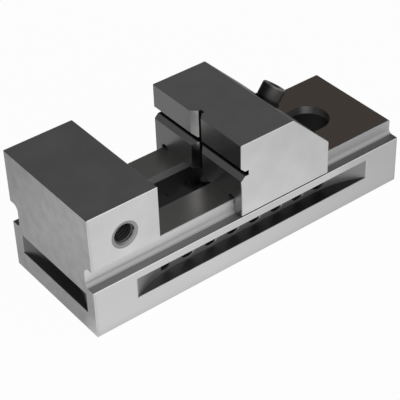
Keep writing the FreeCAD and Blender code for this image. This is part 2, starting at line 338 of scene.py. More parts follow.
@dataclass(frozen=True)
class BodyFinish:
    """Ground steel with plainer ends, an oiled bed, milled window walls, and painted light and shade.

    A pair of greys runs from the left of the bed to the right, darker to the right as painted shade on the
    neck, fillets, ledges and windows, but for the ends and the round land, where it runs from dark to
    light.
    """

    ground: SteelFinish

    # Greys and colours
    base: float = 0.62
    oiled: Triple = (0.59, 0.58, 0.57)
    browned: Triple = (0.46, 0.39, 0.34)
    ends: Pair = (0.575, 0.695)
    stain: Pair = (150.0, 7.0)
    # darker strips of the long sides next to the ends
    corner: float = 0.50
    # painted highlight along the eased edges
    edge_highlight: float = 0.72
    # neck walls painted lighter as painted light, darker to the right as painted shade
    neck: Pair = (0.84, 0.56)
    # painted shade along the foot of the neck's walls
    neck_foot_shade: float = 0.60
    # fillets painted a shade darker and darker again to the right, as painted shade
    fillet: Pair = (0.56, 0.51)
    # painted highlight on the strips above the long windows
    strip_highlight: float = 0.74
    # ledges' flats painted dark as shade, darker to the right
    ledge: Pair = (0.31, 0.27)
    # milled window walls painted dark as shade, darker to the right
    walls: Pair = (0.37, 0.31)
    # end windows' walls painted dark as shade
    end_walls_shade: float = 0.28
    # windows' floors painted very dark as shade, darker to the right
    window_floor: Pair = (0.18, 0.055)
    # hollows painted near black as shade
    hollow_shade: float = 0.055
    # countersink painted dark as shade
    sink: float = 0.20
    # slot's land painted dark as shade
    land: float = 0.43
    # round end: painted shade with a painted highlight on the far side
    round_land_shade_and_highlight: Pair = (0.17, 0.5)

    # Roughness
    neck_roughness: float = 0.65
    ledge_roughness: float = 0.6
    land_roughness: float = 0.6
    walls_roughness: float = 0.5
    hollow_roughness: float = 0.6

    # Sizes and places
    length: float = 200.0 * MM
    width: float = 73.0 * MM
    # where the painted shade that darkens towards the right starts and ends
    right_shade_span: Pair = (-60.0 * MM, 50.0 * MM)
    browns: Pair = (0.0, 50.0 * MM)
    oil_slant: float = 0.5
    skin: float = 0.35 * MM
    thin_skin: float = 0.1 * MM
    bed_height: float = 36.4 * MM
    ledge_height: float = 28.3 * MM
    groove_top: float = 41.7 * MM
    corner_width: float = 1.5 * MM
    neck_foot_at: Pair = (31.9 * MM, 30.7 * MM)
    strip_foot: float = 24.3 * MM
    strip_brightens: Pair = (10.0 * MM, 54.0 * MM)
    strip_fade: float = 12.0 * MM
    window_depth: float = 8.0 * MM
    end_walls_fade: float = 1.0 * MM
    slot_half: float = 13.0 * MM
    slot_land_foot: float = 31.6 * MM
    slot_end: float = 55.0 * MM
    patch_towards: float = -0.55
    patch_fades: Pair = (0.3, 0.05)
    bore_radius: float = 6.05 * MM
    sink_radius: float = 7.75 * MM
    sink_skin: float = 0.05 * MM

    def material(self) -> Material:
        """Make the finish's material.

        Returns:
            The material.
        """
        nodes = Surface(self.ground.name)
        colour, roughness = self.ground.patterns(nodes)
        # share of the way to the right, for the painted shade that darkens towards the right
        along = nodes.rise(nodes.x, *self.right_shade_span)
        neck, fillet, ledge = self.neck_masks(nodes)
        walls, window_floor, hollows, sink = self.inner_masks(nodes)
        land = self.land_mask(nodes)
        stain = nodes.rise(nodes.noise(*self.stain), *NOISE_CORE)
        colour = nodes.coats(
            colour,
            (nodes.below(nodes.z, self.ledge_height - self.skin), self.base),
            (self.bed_mask(nodes), self.film(nodes)),
            (nodes.above(nodes.lengthways, MOSTLY), nodes.lay(stain, *self.ends)),
            (self.corner_mask(nodes), self.corner),
            (nodes.eased_edges(), self.edge_highlight),
            (neck, self.neck_colour(nodes, along)),
            (fillet, nodes.lay(along, *self.fillet)),
            (self.strip_highlight_mask(nodes), self.strip_highlight),
            (ledge, nodes.lay(along, *self.ledge)),
            (walls, nodes.lay(along, *self.walls)),
            (window_floor, nodes.lay(along, *self.window_floor)),
            (hollows, self.hollow_shade),
            (sink, self.sink),
            (land, self.land_colour(nodes)),
            (self.end_walls_mask(nodes, walls, window_floor), self.end_walls_shade))
        roughness = nodes.coats(
            roughness,
            (neck, self.neck_roughness),
            (ledge, self.ledge_roughness),
            (land, self.land_roughness),
            (walls, self.walls_roughness),
            (hollows, self.hollow_roughness),
            mixed=Mixed.NUMBER)
        return nodes.finish(colour, roughness)

    def bed_mask(self, nodes: Surface) -> Socket:
        """Find the bed's top."""
        low, high = self.bed_height - self.thin_skin, self.bed_height + self.thin_skin
        return nodes.every(nodes.between(nodes.z, low, high), nodes.above(nodes.up, SQUARELY))

    def film(self, nodes: Surface) -> Socket:
        """Let the bed's film of oil turn brown towards the right and the near side."""
        aslant = nodes.math("SUBTRACT", nodes.x, nodes.math("MULTIPLY", nodes.y, self.oil_slant))
        return nodes.lay(nodes.rise(aslant, *self.browns), self.oiled, self.browned)

    def corner_mask(self, nodes: Surface) -> Socket:
        """Find the narrow strips of the long sides next to the ends, which are painted darker."""
        end = self.length / 2
        return nodes.every(nodes.above(nodes.sideways, SQUARELY),
                           nodes.rise(nodes.far_x, end - self.corner_width, end))

    def strip_highlight_mask(self, nodes: Surface) -> Socket:
        """Find the narrow strips above the long windows that get a painted highlight."""
        start, end = self.strip_brightens
        return nodes.every(nodes.above(nodes.far_y, self.width / 2 - self.skin),
                           nodes.between(nodes.z, self.strip_foot, self.ledge_height + self.skin),
                           nodes.rise(nodes.x, start, end),
                           nodes.rise(nodes.x, end + self.strip_fade, end))

    def neck_masks(self, nodes: Surface) -> tuple[Socket, Socket, Socket]:
        """Find the milled walls of the neck, their fillets, and the flat of the ledges.

        Args:
            nodes: The material's nodes.

        Returns:
            The masks of the neck's walls, of the fillets and of the ledges.
        """
        within = nodes.every(nodes.below(nodes.far_y, self.width / 2 - self.skin),
                             nodes.above(nodes.z, self.ledge_height - self.thin_skin))
        neck = nodes.every(within, nodes.above(nodes.sideways, SLIGHTLY),
                           nodes.below(nodes.z, self.groove_top),
                           nodes.above(nodes.far_y, self.slot_half + self.skin))
        flat = nodes.every(nodes.above(nodes.up, STRAIGHT), within,
                           nodes.below(nodes.z, self.ledge_height + self.thin_skin))
        return neck, nodes.every(neck, nodes.between(nodes.sideways, SLIGHTLY, WHOLLY)), flat

    def neck_colour(self, nodes: Surface, along: Socket) -> Socket:
        """Paint the neck's walls lighter than the steel as painted light, darker to the right and, on the
        left, towards their foot as painted shade.
        """
        foot = nodes.every(nodes.rise(nodes.z, *self.neck_foot_at), nodes.rise(along, 1.0, 0.0))
        return nodes.lay(foot, nodes.lay(along, *self.neck), self.neck_foot_shade)

    def land_mask(self, nodes: Surface) -> Socket:
        """Find the upright land at the top of the slot."""
        return nodes.every(nodes.below(nodes.size(nodes.up), SLIGHTLY),
                           nodes.below(nodes.far_y, self.slot_half),
                           nodes.below(nodes.far_x, self.length / 2 - self.skin),
                           nodes.between(nodes.z, self.slot_land_foot, self.bed_height))

    def land_colour(self, nodes: Surface) -> Socket:
        """Paint the land dark as shade, darker round the slot's end as painted shade but for a painted
        highlight on the far side.

        Args:
            nodes: The material's nodes.

        Returns:
            The colour.
        """
        turned = nodes.size(nodes.math("SUBTRACT", nodes.out, self.patch_towards))
        rounded = nodes.lay(nodes.rise(turned, *self.patch_fades), *self.round_land_shade_and_highlight)
        return nodes.lay(nodes.below(nodes.x, self.slot_end), rounded, self.land)

    def inner_masks(self, nodes: Surface) -> tuple[Socket, Socket, Socket, Socket]:
        """Find the milled walls, the hollows and the countersink by their place.

        Args:
            nodes: The material's nodes.

        Returns:
            The masks of the milled walls, the windows' floors, the dark hollows and the countersink.
        """
        within = nodes.every(nodes.above(nodes.z, self.skin),
                             nodes.below(nodes.far_x, self.length / 2 - self.skin))
        inner = nodes.every(within, nodes.below(nodes.z, self.ledge_height - self.skin),
                            nodes.below(nodes.far_y, self.width / 2 - self.skin))
        core = nodes.every(nodes.below(nodes.far_y, self.width / 2 - self.window_depth - self.skin),
                           nodes.below(nodes.far_x, self.length / 2 - self.window_depth))
        slot = nodes.every(within, core, nodes.below(nodes.z, self.slot_land_foot),
                           nodes.below(nodes.far_y, self.slot_half))
        bore, sink = self.stop_hole_masks(nodes)
        return (nodes.any_of(inner, sink), nodes.every(inner, nodes.above(nodes.up, HALF)),
                nodes.any_of(nodes.every(inner, core), slot, bore), sink)

    def stop_hole_masks(self, nodes: Surface) -> tuple[Socket, Socket]:
        """Find the work-stop hole's bore and the countersink round it.

        Args:
            nodes: The material's nodes.

        Returns:
            The mask of the bore and that of the countersink.
        """
        squared = nodes.squared(nodes.math("SUBTRACT", nodes.x, STOP_HOLE[0] * MM),
                                nodes.math("SUBTRACT", nodes.z, STOP_HOLE[2] * MM))
        near = nodes.between(nodes.y, self.sink_skin - self.width / 2, 0.0)
        bore = nodes.every(near, nodes.below(squared, self.bore_radius ** 2))
        sink = nodes.every(near, nodes.below(squared, self.sink_radius ** 2))
        return bore, nodes.every(sink, nodes.below(bore, HALF))

    def end_walls_mask(self, nodes: Surface, walls: Socket, window_floor: Socket) -> Socket:
        """Find the upright walls of the end windows among all milled walls."""
        inner = self.length / 2 - self.window_depth
        return nodes.every(walls, nodes.below(window_floor, HALF),
                           nodes.rise(nodes.far_x, inner - self.end_walls_fade, inner))


@dataclass(frozen=True)
class JawFinish:
    """Ground steel whose gripping face, flanks, rear slope and narrow reliefs are painted darker as shade.

    The flanks are the sides of the upright vee.
    """

    ground: SteelFinish

    # Greys
    # painted highlight along the eased edges
    edge_highlight: float = 0.72
    # gripping face painted dark as shade, darker still below the level vee
    face: float = 0.36
    lower_face: float = 0.33
    # flanks painted darker towards the top and the bottom as painted shade
    flank_top: float = 0.38
    flank_foot: float = 0.62
    flank_shaded: float = 0.22
    # rear slope painted dark as shade
    slope_shade: float = 0.20
    # reliefs and the channel over the bed painted near black as shade, lighter at the lip
    lip: float = 0.16
    relief: float = 0.02
    upright_relief: float = 0.05

    # Roughness
    relief_roughness: float = 0.7
    vee_roughness: float = 0.14

    # Sizes and places
    face_x: float = -8.95 * MM
    level_vee: float = 55.0 * MM
    flank_shade_ends: Pair = (47.0 * MM, 51.0 * MM)
    flank_darkens: Pair = (61.0 * MM, 73.0 * MM)
    relief_half: float = 1.5 * MM
    relief_start: float = 3.1 * MM
    level_relief_start: float = 2.5 * MM
    relief_root: float = 4.8 * MM
    lip_depth: float = 1.3 * MM
    channel_top: float = 38.7 * MM
    channel_half: float = 31.2 * MM

    def material(self) -> Material:
        """Make the finish's material.

        Returns:
            The material.
        """
        nodes = Surface(self.ground.name)
        colour, roughness = self.ground.patterns(nodes)
        upper = nodes.above(nodes.z, self.level_vee)
        flank = nodes.every(nodes.between(nodes.out, -SQUARELY, -SLANTING),
                            nodes.above(nodes.sideways, SLANTING))
        shaded = nodes.lay(nodes.rise(nodes.z, *self.flank_shade_ends), self.flank_shaded, self.flank_foot)
        darker = nodes.lay(nodes.rise(nodes.z, *self.flank_darkens), self.flank_foot, self.flank_top)
        relief, upright = self.relief_masks(nodes)
        mouth = self.face_x + self.level_relief_start
        # painted shade that deepens from the relief's lip inwards
        depth = nodes.lay(nodes.rise(nodes.x, mouth, mouth + self.lip_depth), self.lip, self.relief)
        colour = nodes.coats(
            colour,
            (nodes.eased_edges(), self.edge_highlight),
            (flank, nodes.lay(upper, shaded, darker)),
            (nodes.below(nodes.out, -SQUARELY), nodes.lay(upper, self.lower_face, self.face)),
            (nodes.above(nodes.out, MOSTLY), self.slope_shade),
            (relief, nodes.lay(upright, depth, self.upright_relief)))
        roughness = nodes.coats(
            roughness,
            (nodes.between(nodes.out, -STRAIGHT, -SLANTING), self.vee_roughness),
            (relief, self.relief_roughness),
            mixed=Mixed.NUMBER)
        return nodes.finish(colour, roughness)

    def relief_masks(self, nodes: Surface) -> tuple[Socket, Socket]:
        """Find the relief slots at the roots of the vees and the channel that rides on the bed.

        Args:
            nodes: The material's nodes.

        Returns:
            The mask of them all and that of the upright slot alone.
        """
        root = self.face_x + self.relief_root
        higher = nodes.size(nodes.math("SUBTRACT", nodes.z, self.level_vee))
        upright = nodes.every(nodes.between(nodes.x, self.face_x + self.relief_start, root),
                              nodes.below(nodes.far_y, self.relief_half))
        level = nodes.every(nodes.between(nodes.x, self.face_x + self.level_relief_start, root),
                            nodes.below(higher, self.relief_half))
        channel = nodes.every(nodes.below(nodes.lengthways, MOSTLY), nodes.below(nodes.z, self.channel_top),
                              nodes.below(nodes.far_y, self.channel_half))
        return nodes.any_of(channel, upright, level), upright


@dataclass(frozen=True)
class ScrewFinish:
    """Black oxide that is worn to grey on the head's outer rim, which is also painted lighter as a
    highlight.
    """

    oxide: SteelFinish
    # the head's outer rim: worn to grey and painted lighter as a highlight
    worn_and_lit_rim: float = 0.28
    worn_lit_rim_height: Pair = (7.3 * MM, 7.7 * MM)
    worn_lit_rim_radius: float = 5.85 * MM

    def material(self) -> Material:
        """Make the finish's material.

        Returns:
            The material.
        """
        nodes = Surface(self.oxide.name)
        colour, roughness = self.oxide.patterns(nodes)
        x = nodes.math("SUBTRACT", nodes.x, SCREW_SEAT[0] * MM)
        z = nodes.math("SUBTRACT", nodes.z, SCREW_SEAT[2] * MM)
        ahead, _, upwards = SCREW_AXIS
        along = nodes.math("ADD", nodes.math("MULTIPLY", x, ahead), nodes.math("MULTIPLY", z, upwards))
        across = nodes.math("SUBTRACT", nodes.math("MULTIPLY", x, upwards),
                            nodes.math("MULTIPLY", z, ahead))
        rim = nodes.every(nodes.rise(along, *self.worn_lit_rim_height),
                          nodes.above(nodes.squared(across, nodes.y), self.worn_lit_rim_radius ** 2))
        return nodes.finish(nodes.lay(rim, colour, self.worn_and_lit_rim), roughness)


@dataclass(frozen=True)
class ThreadFinish:
    """The work-stop hole's turned rim and its thread, painted darker as shade the deeper it lies."""

    rim: float = 0.33
    rim_foot: float = -36.02 * MM
    rim_roughness: float = 0.5
    depth_shade_span: Pair = (-36.0 * MM, -33.0 * MM)
    depth_shade: Pair = (0.22, 0.025)
    wear: Pair = (900.0, 2.0)
    roughness: Pair = (0.29, 0.41)

    def material(self) -> Material:
        """Make the finish's material.

        Returns:
            The material.
        """
        nodes = Surface("cut_thread")
        nodes.feed(nodes.shader, {"Metallic": 1.0})
        rim = nodes.below(nodes.y, self.rim_foot)
        # painted shade, darker deeper in the bore
        colour = nodes.lay(nodes.rise(nodes.y, *self.depth_shade_span), *self.depth_shade)
        wear = nodes.rise(nodes.noise(*self.wear), *NOISE_CORE, *self.roughness)
        return nodes.finish(nodes.lay(rim, colour, self.rim),
                            nodes.lay(rim, wear, self.rim_roughness, Mixed.NUMBER))


GROUND_BODY = SteelFinish("body_steel", 0.59, 0.67, (0.29, 0.36), Grain.ALONG_BED, 0.0012 * MM)
GROUND_JAW = SteelFinish("jaw_steel", 0.65, 0.73, (0.29, 0.36), Grain.ALONG_BED, 0.0012 * MM)
BLACK = SteelFinish("oxide_worn_and_lit_rim", (0.038, 0.037, 0.038), (0.085, 0.08, 0.078), (0.3, 0.42), Grain.NONE,
                    0.004 * MM, 0.85)
# washer's oxide painted near black as shade
SHADED = SteelFinish("shaded_oxide", (0.012, 0.012, 0.013), (0.025, 0.024, 0.024), (0.45, 0.6), Grain.NONE,
                     0.004 * MM, 0.85)
PLAIN = SteelFinish("turned_steel", (0.34, 0.335, 0.33), (0.42, 0.415, 0.41), (0.3, 0.42),
                    Grain.ACROSS_BED, 0.004 * MM)


# Modelling by hand


def clear() -> None:
    """Deselect every object."""
    bpy.ops.object.select_all(action="DESELECT")


def pick(piece: Piece) -> None:
    """Select one piece and make it active."""
    clear()
    piece.select_set(True)
    bpy.context.view_layer.objects.active = piece


@contextmanager
def editing(piece: Piece) -> Iterator[None]:
    """Open a piece in edit mode with all of it selected, and close it afterwards.

    Args:
        piece: The piece.
    """
    pick(piece)
    bpy.ops.object.mode_set(mode="EDIT")
    bpy.ops.mesh.select_all(action="SELECT")
    yield
    bpy.ops.object.mode_set(mode="OBJECT")


def choose(piece: Piece, kind: str, test: Callable[[object], bool]) -> None:
    """Select the corners or faces of an open piece that pass a test.

    Args:
        piece: The piece.
        kind: VERT or FACE.
        test: Says whether one of them is selected.
    """
    bpy.ops.mesh.select_all(action="DESELECT")
    bpy.ops.mesh.select_mode(type=kind)
    mesh = bmesh.from_edit_mesh(piece.data)
    for part in mesh.faces if kind == "FACE" else mesh.verts:
        part.select = test(part)
    mesh.select_flush(True)
    bmesh.update_edit_mesh(piece.data)


def merge() -> None:
    """Make one corner of those that lie together in the open piece's selection."""
    bpy.ops.mesh.remove_doubles(threshold=MERGE_WITHIN)


def face_outwards() -> None:
    """Turn all faces of the open piece outwards."""
    bpy.ops.mesh.select_all(action="SELECT")
    bpy.ops.mesh.normals_make_consistent(inside=False)


def settle() -> None:
    """Put the active piece's place and turn into its mesh."""
    bpy.ops.object.transform_apply(location=True, rotation=True, scale=True)


def cone(name: str, foot: float, tip: float, low: float, high: float, sides: int) -> Piece:
    """Add a cone that stands along Z.

    Args:
        name: The object's name.
        foot: Radius at its lower end.
        tip: Radius at its upper end.
        low: Its lower end.
        high: Its upper end.
        sides: How many sides it has.

    Returns:
        The new object.
    """
    clear()
    bpy.ops.mesh.primitive_cone_add(vertices=sides, radius1=foot, radius2=tip, depth=high - low,
                                    location=(0.0, 0.0, (low + high) / 2))
    bpy.context.object.name = name
    settle()
    return bpy.context.object


def cylinder(name: str, radius: float, low: float, high: float, sides: int) -> Piece:
    """Add a cylinder that stands along Z."""
    return cone(name, radius, radius, low, high, sides)


def profile(name: str, points: list[Pair]) -> Piece:
    """Draw an open outline in the XZ plane, point after point.

    Args:
        name: The object's name.
        points: The outline's points as (radius, height).

    Returns:
        The new object.
    """
    clear()
    bpy.ops.mesh.primitive_plane_add(size=1.0 * MM, location=(0.0, 0.0, 0.0))
    outline = bpy.context.object
    outline.name = name
    with editing(outline):
        bpy.ops.mesh.merge(type="CENTER")
        bpy.ops.transform.translate(value=(points[0][0], 0.0, points[0][1]))
        for last, this in zip(points, points[1:]):
            step = (this[0] - last[0], 0.0, this[1] - last[1])
            bpy.ops.mesh.extrude_vertices_move(TRANSFORM_OT_translate={"value": step})
    return outline


def turn(outline: Piece, steps: int) -> None:
    """Turn a drawn outline round the Z axis into a closed shape.

    Args:
        outline: The outline.
        steps: Steps in the turn.
    """
    with editing(outline):
        bpy.ops.mesh.spin(steps=steps, angle=math.tau, center=(0.0, 0.0, 0.0), axis=(0.0, 0.0, 1.0))
        bpy.ops.mesh.select_all(action="SELECT")
        merge()
        face_outwards()


def apply(piece: Piece, kind: str, **settings: object) -> None:
    """Add a modifier, set it and apply it.

    Args:
        piece: The piece.
        kind: The modifier's Blender type.
        settings: Property names and values.
    """
    pick(piece)
    modifier = piece.modifiers.new(kind.title(), kind)
    for key, value in settings.items():
        setattr(modifier, key, value)
    bpy.ops.object.modifier_apply(modifier=modifier.name)


def combine(piece: Piece, tool: Piece, operation: str) -> None:
    """Combine a solid with a second one, which is used up.

    Args:
        piece: The solid that stays.
        tool: The solid that is used up.
        operation: DIFFERENCE, INTERSECT or UNION.
    """
    apply(piece, "BOOLEAN", operation=operation, object=tool, solver="EXACT")
    mesh = tool.data
    bpy.data.objects.remove(tool)
    bpy.data.meshes.remove(mesh)


def coil(outline: Piece, pitch: float, turns: int, steps: int) -> None:
    """Wind an outline round Z into a right-hand thread.

    Args:
        outline: The outline of one pitch, drawn upwards.
        pitch: Rise of one turn in metres.
        turns: How many turns.
        steps: Steps in a turn.
    """
    apply(outline, "SCREW", axis="Z", angle=math.tau, screw_offset=pitch, iterations=turns, steps=steps,
          render_steps=steps, use_merge_vertices=True, merge_threshold=MERGE_WITHIN)


def cut_ends(wound: Piece, low: float, high: float) -> None:
    """Cut a wound shape square at both heights and close the cuts.

    Args:
        wound: The wound shape.
        low: Height of the lower cut.
        high: Height of the upper cut.
    """
    with editing(wound):
        merge()
        for height, direction in ((low, -1.0), (high, 1.0)):
            bpy.ops.mesh.select_all(action="SELECT")
            bpy.ops.mesh.bisect(plane_co=(0.0, 0.0, height), plane_no=(0.0, 0.0, direction), use_fill=True,
                                clear_outer=True)
        face_outwards()


def close_ends(wound: Piece) -> None:
    """Close a wound ridge's two open ends.

    Args:
        wound: The wound ridge.
    """
    with editing(wound):
        merge()
        bpy.ops.mesh.select_all(action="DESELECT")
        bpy.ops.mesh.select_non_manifold(extend=False, use_wire=False, use_multi_face=False,
                                         use_non_contiguous=False, use_verts=False)
        bpy.ops.mesh.fill()
        face_outwards()


def join(name: str, *parts: Piece) -> Piece:
    """Join several shells into one object.

    Args:
        name: The joined object's name.
        parts: The objects, the first of which stays.

    Returns:
        The joined object.
    """
    pick(parts[0])
    for part in parts:
        part.select_set(True)
    bpy.ops.object.join()
    parts[0].name = name
    return parts[0]


def place(piece: Piece, foot: Vector, up: Vector) -> None:
    """Put a piece that was made along Z on its axis in the vise.

    Args:
        piece: The piece.
        foot: Where its origin goes.
        up: Where its Z axis points.
    """
    pick(piece)
    third = ACROSS.cross(up).normalized()
    if not third.length:
        third = Vector((1.0, 0.0, 0.0))
    turned = Matrix((third, up.cross(third), up)).transposed().to_4x4()
    piece.matrix_world = Matrix.Translation(foot) @ turned
    settle()


def smooth(piece: Piece, degrees: float) -> None:
    """Shade a piece smooth but for its real edges."""
    pick(piece)
    bpy.ops.object.shade_smooth_by_angle(angle=math.radians(degrees))


def coat(piece: Piece, material: Material) -> None:
    """Give a piece one material all over."""
    piece.data.materials.clear()
    piece.data.materials.append(material)


def finish(obj: Piece, body: Body, material: Material) -> None:
    """Give a new piece its material and the body it rides on.

    Args:
        obj: The piece.
        body: The body it rides on.
        material: Its material.
    """
    coat(obj, material)
    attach(obj, body.value)
    log.info("%s: %d faces", obj.name, len(obj.data.polygons))


def dress(frame: dict, node: str, material: Material) -> None:
    """Give a node from the construction model a better material."""
    coat(frame["nodes"][node], material)
    log.info("%s: dressed", node)


# Sub-assemblies


@dataclass
class ViseBody:
    """The body with its fixed jaw and the threaded work-stop hole."""

    stop_mouth: Vector = field(default_factory=lambda: Vector(STOP_HOLE) * MM)
    thread_major: float = 6.0 * MM
    thread_minor: float = 5.1 * MM
    thread_pitch: float = 1.75 * MM
    thread_depth: float = 16.0 * MM
    thread_seat: float = 0.08 * MM
    flank_shares: Pair = (0.07, 0.40)
    spare_turns: int = 2
    countersink: float = 7.7 * MM
    countersink_depth: float = 0.5 * MM
    countersink_foot: float = 5.85 * MM
    rim_play: float = 0.01 * MM
    rim_lap: float = 0.1 * MM
    rim_foot: float = 0.4 * MM
    sides: int = 96
    steps: int = 64
    tool_past: float = 2.0 * MM
    tool_size: float = 9.0 * MM
    tool_sides: int = 24
    crease: float = 25.0

    def build(self, frame: dict, steel: Material, thread: Material) -> None:
        """Dress the body and cut the work-stop hole's thread.

        Args:
            steel: The body's steel.
            thread: The steel of the cut thread.
        """
        dress(frame, "vise_body", steel)
        for piece in (self.stop_thread(), self.stop_rim()):
            place(piece, self.stop_mouth, ACROSS)
            smooth(piece, self.crease)
            finish(piece, Body.BODY, thread)

    def stop_thread(self) -> Piece:
        """Model the ridge of the internal thread, cut back by the countersink.

        Returns:
            The ridge, going in along Z.
        """
        wall, crest, pitch = self.thread_major, self.thread_minor, self.thread_pitch
        seat = wall + self.thread_seat
        foot, top = self.flank_shares
        section = [(seat, 0.0), (wall, foot * pitch), (crest, top * pitch), (crest, (1.0 - top) * pitch),
                   (wall, (1.0 - foot) * pitch), (seat, pitch), (seat, 0.0)]
        ridge = profile("stop_hole_thread", section)
        coil(ridge, pitch, int(self.thread_depth / pitch) + self.spare_turns, self.steps)
        close_ends(ridge)
        self.trim(ridge)
        return ridge

    def trim(self, ridge: Piece) -> None:
        """Cut the ridge back to the countersink's cone and to the hole's depth.

        Args:
            ridge: The thread's ridge.
        """
        slant = (self.countersink - self.countersink_foot) / self.countersink_depth
        sink = cone("countersink_tool", self.countersink + slant * self.tool_past, 0.0, -self.tool_past,
                    self.countersink / slant, self.sides)
        combine(ridge, sink, "DIFFERENCE")
        end = self.thread_depth
        below = cylinder("depth_tool", self.tool_size, end, end + self.tool_size, self.tool_sides)
        combine(ridge, below, "DIFFERENCE")

    def stop_rim(self) -> Piece:
        """Model the flat countersink round the thread's mouth.

        Returns:
            The rim, going in along Z.
        """
        mouth, foot, lap = self.countersink, self.countersink_foot, self.rim_lap
        deep = mouth - self.thread_major + self.rim_foot
        edge = (mouth - self.rim_play, self.rim_play)
        section = [edge, (foot, self.countersink_depth), (foot, deep), (self.thread_major + lap, deep),
                   (mouth + lap, lap), edge]
        rim = profile("stop_hole_rim", section)
        turn(rim, self.sides)
        return rim


@dataclass
class MovableJaw:
    """The sliding jaw."""

    def build(self, frame: dict, steel: Material) -> None:
        """Dress the jaw."""
        dress(frame, "movable_jaw", steel)


@dataclass
class ClampScrew:
    """The socket head screw with its knurled head, socket and rolled thread.

    The rim's points are (in from the head's side, down from its top), and the fillet's points are (out
    from the shank, down from the head), both in millimetres.
    """

    underside: Vector = field(default_factory=lambda: Vector(SCREW_SEAT) * MM)
    axis: Vector = field(default_factory=lambda: Vector(SCREW_AXIS).normalized())
    head_radius: float = 6.5 * MM
    head_height: float = 8.0 * MM
    foot_chamfer: float = 0.35 * MM
    knurl_foot: float = 0.7 * MM
    rim: tuple[Pair, ...] = ((0.0, 0.65), (0.12, 0.45), (0.12, 0.3), (0.42, 0.0))
    knurls: int = 56
    knurl_depth: float = 0.1 * MM
    near: float = 0.02 * MM
    socket_flats: float = 6.0 * MM
    socket_sides: int = 6
    socket_depth: float = 4.0 * MM
    mouth_depth: float = 0.5 * MM
    mouth_play: float = 0.2 * MM
    mouth_past: float = 0.7 * MM
    tool_past: float = 1.0 * MM
    shank_radius: float = 4.0 * MM
    fillet: tuple[Pair, ...] = ((0.6, -0.4), (0.6, 0.0), (0.15, 0.12), (0.0, 0.45))
    root_radius: float = 3.26 * MM
    run_out: float = 0.5 * MM
    core_lap: float = 0.3 * MM
    core_play: float = 0.1 * MM
    pitch: float = 1.25 * MM
    crest_play: float = 0.02 * MM
    flank_shares: Triple = (0.14, 0.52, 0.64)
    length: float = 65.0 * MM
    thread_length: float = 28.0 * MM
    spare_turns: int = 3
    chamfer: float = 0.9 * MM
    tool_size: float = 6.0 * MM
    tool_lap: float = 0.1 * MM
    steps: int = 48
    sides: int = 64
    crease: float = 28.0

    def build(self, black: Material) -> None:
        """Model the screw in place of the plain one.

        Args:
            black: The black oxide finish.
        """
        screw = join("socket_screw", self.head(), self.shank(), self.thread())
        place(screw, self.underside, self.axis)
        smooth(screw, self.crease)
        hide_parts("clamp_screw")
        finish(screw, Body.SCREW, black)

    def head(self) -> Piece:
        """Model the head with its straight knurl, chamfered rim and six-sided socket.

        Returns:
            The head, standing on Z.
        """
        radius, height, top = self.head_radius - self.foot_chamfer, self.foot_chamfer, self.head_height
        head = cylinder("screw_head", radius, 0.0, height, 2 * self.knurls)
        rim = [(self.head_radius - inwards * MM, top - down * MM) for inwards, down in self.rim]
        for wider, higher in [(self.head_radius, self.knurl_foot), *rim]:
            with editing(head):
                choose(head, "FACE", partial(self.is_top, height))
                rise = (0.0, 0.0, higher - height)
                bpy.ops.mesh.extrude_region_move(TRANSFORM_OT_translate={"value": rise})
                bpy.ops.transform.resize(value=(wider / radius, wider / radius, 1.0))
            radius, height = wider, higher
        self.knurl(head)
        socket = cylinder("socket_tool", self.socket_flats / math.sqrt(3), top - self.socket_depth,
                          top + self.tool_past, self.socket_sides)
        combine(head, socket, "DIFFERENCE")
        half = self.socket_flats / 2
        mouth = cone("mouth_tool", half - self.mouth_play, half + self.tool_past, top - self.mouth_depth,
                     top + self.mouth_past, self.steps)
        combine(head, mouth, "DIFFERENCE")
        return head

    def is_top(self, height: float, face: bmesh.types.BMFace) -> bool:
        """Say whether a face is the level one at this height."""
        return face.normal.z > SQUARELY and abs(face.calc_center_median().z - height) < self.near

    def knurl(self, head: Piece) -> None:
        """Press every second corner of the knurled band inwards.

        Args:
            head: The turned head.
        """
        share = 1.0 - self.knurl_depth / self.head_radius
        with editing(head):
            choose(head, "VERT", self.is_furrow)
            bpy.ops.transform.resize(value=(share, share, 1.0))

    def is_furrow(self, corner: bmesh.types.BMVert) -> bool:
        """Say whether a corner lies in one of the knurl's furrows."""
        x, y, _ = corner.co
        step = round(math.atan2(y, x) / math.tau * 2 * self.knurls)
        return math.hypot(x, y) > self.head_radius - self.near and step % 2 == 0

    def shank(self) -> Piece:
        """Model the plain part of the shank with its fillet under the head.

        Returns:
            The plain shank, hanging below Z.
        """
        end = self.thread_length - self.length
        fillet = [(self.shank_radius + out * MM, -down * MM) for out, down in self.fillet]
        outline = [(0.0, fillet[0][1]), *fillet, (self.shank_radius, end + self.run_out),
                   (self.root_radius + self.core_play, end - self.core_lap), (0.0, end - self.core_lap)]
        shank = profile("screw_shank", outline)
        turn(shank, self.sides)
        return shank

    def thread(self) -> Piece:
        """Wind the rolled thread and chamfer its end.

        Returns:
            The threaded part, hanging below Z.
        """
        pitch, root, crest = self.pitch, self.root_radius, self.shank_radius - self.crest_play
        foot, start, end = (share * pitch for share in self.flank_shares)
        section = [(root, 0.0), (root, foot), (crest, start), (crest, end), (root, pitch)]
        thread = profile("screw_thread", section)
        coil(thread, pitch, int(self.thread_length / pitch) + self.spare_turns, self.steps)
        low = self.spare_turns / 2 * pitch
        cut_ends(thread, low, low + self.thread_length)
        pick(thread)
        bpy.ops.transform.translate(value=(0.0, 0.0, -self.length - low))
        settle()
        wide, top = self.shank_radius + self.tool_size, self.chamfer + self.tool_size - self.length
        tool = cone("end_tool", self.shank_radius - self.chamfer, wide, -self.length, top, self.sides)
        rest = cylinder("rest_tool", wide, top - self.tool_lap, self.tool_past, self.sides)
        combine(tool, rest, "UNION")
        combine(thread, tool, "INTERSECT")
        return thread


@dataclass
class NutAndWasher:
    """The domed washer and the cross nut."""

    def build(self, frame: dict, shaded: Material, plain: Material) -> None:
        """Dress the washer with oxide painted near black as shade, and the nut with turned steel."""
        dress(frame, "domed_washer", shaded)
        dress(frame, "cross_nut", plain)


